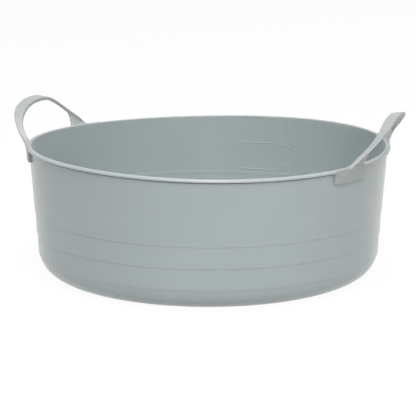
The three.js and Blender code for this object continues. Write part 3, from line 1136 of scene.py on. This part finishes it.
    def strap_field(self, x: np.ndarray, y: np.ndarray, z: np.ndarray) -> np.ndarray:
        """Distance to the strap.

        Args:
            x: Distance from the axis towards the handle.
            y: Distance from the middle of the handle, with its sign.
            z: Height above the ground.

        Returns:
            The distance, negative inside.
        """
        through = np.maximum(self.over_face(x, y, z, "top"), -self.over_face(x, y, z, "low"))
        across = np.maximum(self.past_edge(x, y, "outer"), -self.past_edge(x, y, "inner"))
        past_root = np.abs(y) - self.half_span - self.root_run
        return np.maximum(smooth_cut(through, across, self.ease), past_root)

    def web_face(self, y: np.ndarray, z: np.ndarray) -> np.ndarray:
        """Place of a web's outer face, from the lip's edge up to the strap.

        Args:
            y: Distance from the middle of the handle, with its sign.
            z: Height above the ground.

        Returns:
            The face's distance from the axis towards the handle.
        """
        line = self.strap(y)
        foot = np.sqrt(np.maximum((TUB.rim_radius + self.proud) ** 2 - y**2, 1.0))
        head = line["inner"] + self.web_thickness
        up = (z - TUB.height) / np.maximum(line["inner_low"] - TUB.height, self.web_least)
        return foot + (head - foot) * np.clip(up, 0.0, 1.0 + self.web_overrun)

    def web_field(self, x: np.ndarray, y: np.ndarray, z: np.ndarray) -> np.ndarray:
        """Distance to a web, which fills the corner between lip and strap up to a rounded free edge.

        Args:
            x: Distance from the axis towards the handle.
            y: Distance from the middle of the handle, with its sign.
            z: Height above the ground.

        Returns:
            The distance, negative inside.
        """
        nudge = self.slope_step
        face = self.web_face(y, z)
        slope_y = (self.web_face(y + nudge, z) - face) / nudge
        slope_z = (self.web_face(y, z + nudge) - face) / nudge
        half = 0.5 * self.web_thickness
        across = (np.abs(x - face + half) - half) / np.sqrt(1.0 + slope_y**2 + slope_z**2)
        below = -self.over_face(x, y, z, "low")
        start = self.web_edge + self.web_lean * np.maximum(z - TUB.height, 0.0)
        inside_edge = (start - np.abs(y)) / math.hypot(1.0, self.web_lean)
        plate = smooth_cut(across, smooth_union(inside_edge, below, self.web_fillet), self.web_ease)
        plate = np.maximum(plate, self.over_face(x, y, z, "top") + self.web_bury)
        return np.maximum(plate, TUB.height - self.web_root - z)

    def lip_field(self, radius: np.ndarray, arc_place: np.ndarray, z: np.ndarray) -> np.ndarray:
        """Distance to the stretch of lip over a lug, a hair proud of the lip and fading at its ends.

        Args:
            radius: Distance from the axis.
            arc_place: Distance from the lug's middle round the lip.
            z: Height above the ground.

        Returns:
            The distance, negative inside.
        """
        inner = TUB.inner(TUB.height) + self.lip_inset
        middle, half = 0.5 * (inner + TUB.rim_radius), 0.5 * (TUB.rim_radius - inner)
        tall = self.lip_half_tall
        block = rounded_box(radius - middle, z - TUB.height + tall, half, tall, self.lip_ease)
        low, high = (0.5 * self.lug_width + past for past in self.lip_fade)
        return block - self.proud + self.lip_sink * smoothstep(low, high, np.abs(arc_place))

    def lug_field(self, radius: np.ndarray, arc_place: np.ndarray, z: np.ndarray) -> np.ndarray:
        """Distance to a lug, a plate that hangs from the lip along the wall.

        Args:
            radius: Distance from the axis.
            arc_place: Distance from the lug's middle round the lip.
            z: Height above the ground.

        Returns:
            The distance, negative inside.
        """
        tall = self.lug_half_tall
        foot = TUB.height - self.lug_drop
        face = rounded_box(arc_place, z - foot - tall, 0.5 * self.lug_width, tall, self.lug_corner)
        front = TUB.rim_radius + self.proud - self.lug_draft * (TUB.height - z)
        plate = smooth_cut(face, radius - front, self.lug_ease)
        back = TUB.base_radius + TUB.slope * z - self.lug_root - radius
        return np.maximum(np.maximum(plate, back), z - TUB.height + self.lug_cover)

    def ridge_field(self, x: np.ndarray, along: np.ndarray, z: np.ndarray) -> np.ndarray:
        """Distance to the low ridge that runs on from the strap's outer edge down the lug's face.

        Args:
            x: Distance from the axis towards the handle.
            along: Distance from the middle of the handle.
            z: Height above the ground.

        Returns:
            The distance, negative inside.
        """
        turn = math.asin((self.half_span - self.ridge_lead) / TUB.rim_radius)
        ends = []
        for t, back, drop in zip((0.0, 1.0), self.ridge_set_back, self.ridge_drop):
            angle, reach = turn + t * self.ridge_run / TUB.rim_radius, TUB.rim_radius - back
            ends.append(np.array([reach * math.cos(angle), reach * math.sin(angle), TUB.height - drop]))
        start, run = ends[0], ends[1] - ends[0]
        place = (x - start[0], along - start[1], z - start[2])
        share = sum(p * r for p, r in zip(place, run)) / float(run @ run)
        share = np.clip(share, 0.0, 1.0)
        return np.sqrt(sum((p - share * r) ** 2 for p, r in zip(place, run))) - self.ridge_radius

    def body(self, x: np.ndarray, y: np.ndarray, z: np.ndarray) -> np.ndarray:
        """Distance to the whole handle, on the +X side.

        Args:
            x: Distance from the axis towards the handle.
            y: Distance from the middle of the handle, with its sign.
            z: Height above the ground.

        Returns:
            The distance, negative inside.
        """
        along = np.abs(y)
        radius = np.hypot(x, along)
        arc_place = TUB.rim_radius * (np.arctan2(along, x) - self.lug_middle)
        handle = smooth_union(self.strap_field(x, y, z), self.web_field(x, y, z), self.strap_fillet)
        lip = self.lip_field(radius, arc_place, z)
        lug = smooth_union(self.lug_field(radius, arc_place, z), lip, self.lug_fillet)
        lug = smooth_union(lug, self.ridge_field(x, along, z), self.ridge_fillet)
        both = smooth_union(handle, lug, self.root_fillet)
        return np.maximum(both, TUB.inner(TUB.height) + self.mouth_gap - radius)

    def build(self) -> bpy.types.Object:
        """Makes the handle and hides the imported parts that it stands for.

        Returns:
            The finished piece.
        """
        name = self.side.name.lower()
        label = f"{name}_handle_loop"
        mesher = FieldMesher(self.body, self.grid_low, self.grid_high, self.grid_step)
        corners, faces, normals = mesher.mesh()
        turn = np.array([self.side.value, self.side.value, 1.0])
        mesh = mesh_of(label, TUB.saddled(corners * turn), faces, normals * turn, self.finishes.handle)
        piece = link(label, mesh)
        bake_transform(piece)
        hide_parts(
            f"{name}_handle_strap",
            f"{name}_front_web",
            f"{name}_rear_web",
            f"{name}_front_lug",
            f"{name}_rear_lug",
        )
        return piece


class BarTree:
    """Geometry Nodes that lay a low rounded bar along the inside of the wall."""

    NAME = "bar_along_wall"
    MERGE_DISTANCE = 1e-6
    TAPER_RATE = 24.0
    END_SHARE = 0.45

    @classmethod
    def tree(cls) -> bpy.types.NodeTree:
        """Gives the tree, built on first use.

        Returns:
            The tree.
        """
        if cls.NAME in bpy.data.node_groups:
            return bpy.data.node_groups[cls.NAME]
        takes = [
            ("Section", "NodeSocketGeometry", None),
            ("Wall Radius", "NodeSocketFloat", 0.14),
            ("Start Angle", "NodeSocketFloat", 0.0),
            ("Sweep", "NodeSocketFloat", 0.2),
            ("Height", "NodeSocketFloat", 0.1),
            ("Steps", "NodeSocketInt", 48),
            ("Finish", "NodeSocketMaterial", None),
        ]
        gives = [("Bar", "NodeSocketGeometry")]
        tree, kit, entry, leave = new_group(cls.NAME, "GeometryNodeTree", takes, gives)
        section = kit.add("GeometryNodeMeshToCurve", {0: entry["Section"]}).outputs[0]
        path = kit.add("GeometryNodeCurveArc")
        feeds = {"Resolution": "Steps", "Start Angle": "Start Angle", "Sweep Angle": "Sweep"}
        for socket, name in feeds.items():
            tree.links.new(entry[name], path.inputs[socket])
        radius = next(s for s in path.inputs if s.name == "Radius")
        tree.links.new(entry["Wall Radius"], radius)
        place = kit.add("GeometryNodeSplineParameter").outputs["Factor"]
        from_end = kit.math("MINIMUM", place, kit.math("SUBTRACT", 1.0, place))
        from_end = kit.math("MULTIPLY", from_end, cls.TAPER_RATE, clamp=True)
        taper = kit.math("MULTIPLY_ADD", kit.math("SQRT", from_end), 1.0 - cls.END_SHARE, cls.END_SHARE)
        swept = kit.add(
            "GeometryNodeCurveToMesh",
            {"Curve": path.outputs[0], "Profile Curve": section, "Scale": taper, "Fill Caps": True},
        ).outputs[0]
        offset = kit.add("ShaderNodeCombineXYZ", {2: entry["Height"]}).outputs[0]
        raised = kit.add("GeometryNodeSetPosition", {"Geometry": swept, "Offset": offset}).outputs[0]
        weld = {"Geometry": raised, "Distance": cls.MERGE_DISTANCE}
        merged = kit.add("GeometryNodeMergeByDistance", weld).outputs[0]
        real = kit.add("GeometryNodeRealizeInstances", {"Geometry": merged}).outputs[0]
        dress = {"Geometry": real, "Material": entry["Finish"]}
        done = kit.add("GeometryNodeSetMaterial", dress).outputs[0]
        tree.links.new(done, leave.inputs[0])
        return tree


@dataclass
class LevelMarks:
    """Raised level lines and their numbers, on the inside of the wall."""

    finishes: Finishes
    drops: dict = field(default_factory=lambda: {"6": 1.2, "4_5": 24.1, "3": 48.2})
    line_length: float = 31.0
    line_half: float = 0.8
    line_steps: int = 64
    sharp_degrees: float = 50.0
    relief: float = 0.24
    root: float = 0.6
    middle_degrees: float = 89.0
    digit_height: float = 9.0
    digit_width: float = 5.6
    stroke: float = 0.85
    number_lift: float = 1.2
    number_gap: float = 11.0
    digit_pitch: float = 7.8
    upper_share: float = 0.46
    stroke_ease: float = 0.3
    stroke_steps: int = 24
    digit_step: float = 0.16
    digit_rounds: int = 2
    digit_margin: float = 1.0
    top_gap: float = 0.5

    def bar_section(self) -> bpy.types.Mesh:
        """Section of a bar: a low dome that is rooted in the wall.

        Returns:
            A mesh of corners and edges alone.
        """
        across = np.linspace(-1.0, 1.0, 13)
        dome = [(-0.5 * self.relief * (1.0 + math.cos(math.pi * t)), self.line_half * t) for t in across]
        points = [(self.root, -self.line_half), *dome, (self.root, self.line_half)]
        count = len(points)
        mesh = bpy.data.meshes.new("bar_section")
        edges = [(k, (k + 1) % count) for k in range(count)]
        mesh.from_pydata([(a * MM, b * MM, 0.0) for a, b in points], edges, [])
        return mesh

    def bar(self, label: str, drop: float) -> bpy.types.Object:
        """Makes one level line.

        Args:
            label: The level that it stands for.
            drop: Its distance below the top of the lip.

        Returns:
            The finished piece.
        """
        z = TUB.height - drop
        radius = TUB.inner(z)
        sweep = self.line_length / radius
        values = {
            "Wall Radius": radius * MM,
            "Start Angle": math.radians(self.middle_degrees) - sweep / 2.0,
            "Sweep": sweep,
            "Height": z * MM,
            "Steps": self.line_steps,
            "Finish": self.finishes.mark,
        }
        piece = run_tree(f"level_bar_{label}", self.bar_section(), BarTree.tree(), values)
        face_outward(piece.data)
        soften(piece.data, self.sharp_degrees)
        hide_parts(f"level_line_{label}")
        return piece

    def bowl_stroke(self, middle: tuple, wide: float, tall: float, start: float, end: float) -> list:
        """Points along a round stroke of a digit."""
        turn = np.radians(np.linspace(start, end, self.stroke_steps))
        return [(middle[0] + wide * math.cos(t), middle[1] + tall * math.sin(t)) for t in turn]

    def strokes(self, digit: str) -> list:
        """Strokes of a digit about its own middle.

        Args:
            digit: The digit, or "point".

        Returns:
            Rows of points, one row for each stroke.
        """
        half, side = self.digit_height / 2.0, self.digit_width / 2.0
        upper = half * self.upper_share
        lower = half - upper
        high, low = (0.0, half - upper), (0.0, lower - half)
        upper_bowl = self.bowl_stroke(high, side, upper, 150.0, -90.0)
        lower_bowl = self.bowl_stroke(low, side, lower, 90.0, -150.0)
        belly = self.bowl_stroke(low, side, lower, 120.0, -150.0)
        shapes = {
            "3": [upper_bowl + lower_bowl[1:]],
            "4": [[(side, -half / 2), (-side, -half / 2), (side / 2, half), (side / 2, -half)]],
            "point": [[(0.0, -half), (0.0, self.stroke / 4 - half)]],
            "5": [[(side, half), (-side, half), (-side, 0.0), *belly]],
            "6": [
                self.bowl_stroke(low, side, lower, 0.0, 360.0),
                self.bowl_stroke((side, low[1]), self.digit_width, half + upper, 180.0, 105.0),
            ],
        }
        return shapes[digit]

    def digit(self, digit: str, drop: float, shift: float) -> bpy.types.Object:
        """Makes one raised digit and lays it on the wall.

        Args:
            digit: The digit, or "point".
            drop: Distance of its line below the top of the lip.
            shift: Distance of the digit's middle from the end of its line.

        Returns:
            The finished piece.
        """
        pieces = [(np.array(a), np.array(b)) for row in self.strokes(digit) for a, b in zip(row, row[1:])]

        def relief_field(u: np.ndarray, v: np.ndarray, w: np.ndarray) -> np.ndarray:
            """Distance to the raised strokes, in flat places on the wall.

            Args:
                u: Distance to the right of the digit's middle.
                v: Distance above the digit's middle.
                w: Height above the wall.

            Returns:
                The distance, negative inside.
            """
            nearest = np.full(np.broadcast(u, v).shape, 1e3)
            for a, b in pieces:
                run = b - a
                t = np.clip(((u - a[0]) * run[0] + (v - a[1]) * run[1]) / float(run @ run), 0.0, 1.0)
                nearest = np.minimum(nearest, np.hypot(u - a[0] - t * run[0], v - a[1] - t * run[1]))
            middle = 0.5 * (self.relief - self.root)
            half = 0.5 * (self.relief + self.root)
            return rounded_box(nearest, w - middle, 0.5 * self.stroke, half, self.stroke_ease)

        wide = self.digit_width / 2.0 + self.digit_margin
        tall = self.digit_height / 2.0 + self.digit_margin
        low = (-wide, -tall, -self.root - self.stroke_ease)
        high = (wide, tall, self.relief + self.stroke_ease)
        mesher = FieldMesher(relief_field, low, high, self.digit_step)
        flat, faces, normals = mesher.mesh(self.digit_rounds)
        highest = TUB.height - self.top_gap - 0.5 * (self.digit_height + self.stroke)
        middle = min(TUB.height - drop + self.number_lift, highest)
        z = middle + flat[:, 1]
        start = math.radians(self.middle_degrees) - self.line_length / 2.0 / TUB.inner(middle)
        angle = start - (shift + flat[:, 0]) / TUB.inner(middle)
        radius = TUB.inner(0.0) + TUB.slope * z - flat[:, 2]
        corners = np.stack([radius * np.cos(angle), radius * np.sin(angle), z], axis=1)
        right = np.stack([np.sin(angle), -np.cos(angle), 0.0 * angle], axis=1)
        inward = np.stack([-np.cos(angle), -np.sin(angle), 0.0 * angle + TUB.slope], axis=1)
        rising = np.stack([TUB.slope * np.cos(angle), TUB.slope * np.sin(angle), 0.0 * angle + 1.0], axis=1)
        turned = right * normals[:, :1] + rising * normals[:, 1:2] + inward * normals[:, 2:]
        mesh = mesh_of(f"raised_{digit}", TUB.saddled(corners), faces, turned, self.finishes.mark)
        piece = link(f"raised_{digit}", mesh)
        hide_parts(f"digit_{digit}")
        return piece

    def build(self) -> list[bpy.types.Object]:
        """Makes the lines and numbers and sets them on the tub.

        Returns:
            The finished pieces.
        """
        made = [self.bar(label, drop) for label, drop in self.drops.items()]
        pitch = self.digit_pitch
        middle = self.number_gap
        for digit, line, shift in (
            ("6", "6", middle),
            ("4", "4_5", middle - pitch / 2),
            ("point", "4_5", middle),
            ("5", "4_5", middle + pitch / 2),
            ("3", "3", middle),
        ):
            made.append(self.digit(digit, self.drops[line], shift))
        for piece in made:
            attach(piece, "tub")
        return made


@dataclass(frozen=True)
class Panel:
    """A soft panel of light that faces the tub, sized in metres and powered in watts."""

    name: str
    place: tuple[float, float, float]
    size: tuple[float, float]
    power: float
    mirrored: bool = True


PANELS = (
    Panel("top_panel", (0.05, -0.15, 1.6), (0.6, 0.6), 17.0),
    Panel("front_panel", (0.5, -1.3, 1.2), (0.6, 1.2), 20.5),
    Panel("back_panel", (0.9, 2.1, 0.6), (0.8, 0.6), 12.0, mirrored=False),
    Panel("left_panel", (-2.2, -0.1, 0.08), (0.5, 0.12), 4.5),
    Panel("right_panel", (2.2, 0.1, 0.08), (0.5, 0.12), 2.6),
)


@dataclass
class Studio:
    """Pale floor, soft light and the camera, in metres."""

    azimuth: float = 17.8
    elevation: float = 12.38
    distance: float = 1.341
    target: tuple[float, float, float] = (0.0, 0.0, 0.0523)
    lens: float = 140.55
    shift: tuple[float, float] = (-0.0008, -0.0069)
    clip: tuple[float, float] = (0.05, 50.0)
    ambient: float = 0.09
    floor_half: float = 6.0
    floor_grey: float = 0.7
    floor_roughness: float = 0.9
    floor_specular: float = 0.1
    floor_glow: float = 1.03
    floor_white: float = 0.93

    def camera(self) -> None:
        """Places the camera at the photograph's viewing angle."""
        data = bpy.data.cameras.new("camera")
        data.lens = self.lens
        data.shift_x, data.shift_y = self.shift
        data.clip_start, data.clip_end = self.clip
        eye = bpy.data.objects.new("camera", data)
        bpy.context.scene.collection.objects.link(eye)
        a, e = math.radians(self.azimuth), math.radians(self.elevation)
        back = Vector((math.sin(a) * math.cos(e), -math.cos(a) * math.cos(e), math.sin(e)))
        eye.location = Vector(self.target) + back * self.distance
        eye.rotation_euler = (-back).to_track_quat("-Z", "Y").to_euler()
        bpy.context.scene.camera = eye

    def seen_directly(self, kit: NodeKit) -> bpy.types.NodeSocket:
        """Share that is 1 where the camera, a gloss or a see-through surface looks at something.

        Args:
            kit: Kit of the tree that uses it.

        Returns:
            The share.
        """
        ray = kit.add("ShaderNodeLightPath").outputs
        seen = kit.math("MAXIMUM", ray["Is Camera Ray"], ray["Is Glossy Ray"])
        return kit.math("MAXIMUM", seen, ray["Is Transmission Ray"])

    def world(self) -> None:
        """White background with an even, plain light."""
        world = bpy.data.worlds.new("studio")
        world.use_nodes = True
        bpy.context.scene.world = world
        kit = NodeKit(world.node_tree)
        sky = world.node_tree.nodes["Background"]
        strength = kit.span(self.seen_directly(kit), 0.0, 1.0, self.ambient, 1.0)
        world.node_tree.links.new(strength, sky.inputs["Strength"])
        sky.inputs["Color"].default_value = (1.0, 1.0, 1.0, 1.0)

    def floor(self) -> None:
        """Wide pale floor that keeps the tub's soft shadow."""
        made = bpy.data.materials.new("pale_floor")
        made.use_nodes = True
        kit = NodeKit(made.node_tree)
        shader = made.node_tree.nodes["Principled BSDF"]
        grey = self.floor_grey
        shader.inputs["Base Color"].default_value = (grey, grey, grey, 1.0)
        shader.inputs["Roughness"].default_value = self.floor_roughness
        shader.inputs["Specular IOR Level"].default_value = self.floor_specular
        glow = kit.add("ShaderNodeEmission", {"Strength": self.floor_glow}).outputs[0]
        share = kit.math("MULTIPLY", self.seen_directly(kit), self.floor_white)
        mixed = kit.add("ShaderNodeMixShader", {0: share, 1: shader.outputs[0], 2: glow}).outputs[0]
        out = made.node_tree.nodes["Material Output"]
        made.node_tree.links.new(mixed, out.inputs["Surface"])
        half = self.floor_half
        corners = [(-half, -half, 0.0), (half, -half, 0.0), (half, half, 0.0), (-half, half, 0.0)]
        mesh = bpy.data.meshes.new("floor")
        mesh.from_pydata(corners, [], [(0, 1, 2, 3)])
        mesh.materials.append(made)
        link("floor", mesh)

    def lamp(self, panel: Panel) -> None:
        """Adds a panel of light and turns it to the tub.

        Args:
            panel: The panel; glossy surfaces show it only where it is mirrored.
        """
        data = bpy.data.lights.new(panel.name, "AREA")
        data.shape = "RECTANGLE"
        data.size, data.size_y = panel.size
        data.energy = panel.power
        lamp = bpy.data.objects.new(panel.name, data)
        bpy.context.scene.collection.objects.link(lamp)
        lamp.location = panel.place
        lamp.visible_glossy = panel.mirrored
        toward = Vector(self.target) - Vector(panel.place)
        lamp.rotation_euler = toward.to_track_quat("-Z", "Y").to_euler()

    def build(self) -> None:
        """Sets up the whole studio."""
        view = bpy.context.scene.view_settings
        view.view_transform = "Standard"
        self.camera()
        self.world()
        self.floor()
        for panel in PANELS:
            self.lamp(panel)


def main() -> None:
    """Builds the tub's pieces in order and sets the studio round them."""
    logging.basicConfig(level=logging.INFO, format="%(message)s")
    finishes = Finishes()
    made = Bowl(finishes).build()
    made += [StrapHandle(side, finishes).build() for side in Side]
    made += LevelMarks(finishes).build()
    Studio().build()
    for piece in made:
        log.info("%s: %d faces", piece.name, len(piece.data.polygons))


if __name__ == "__main__":
    main()
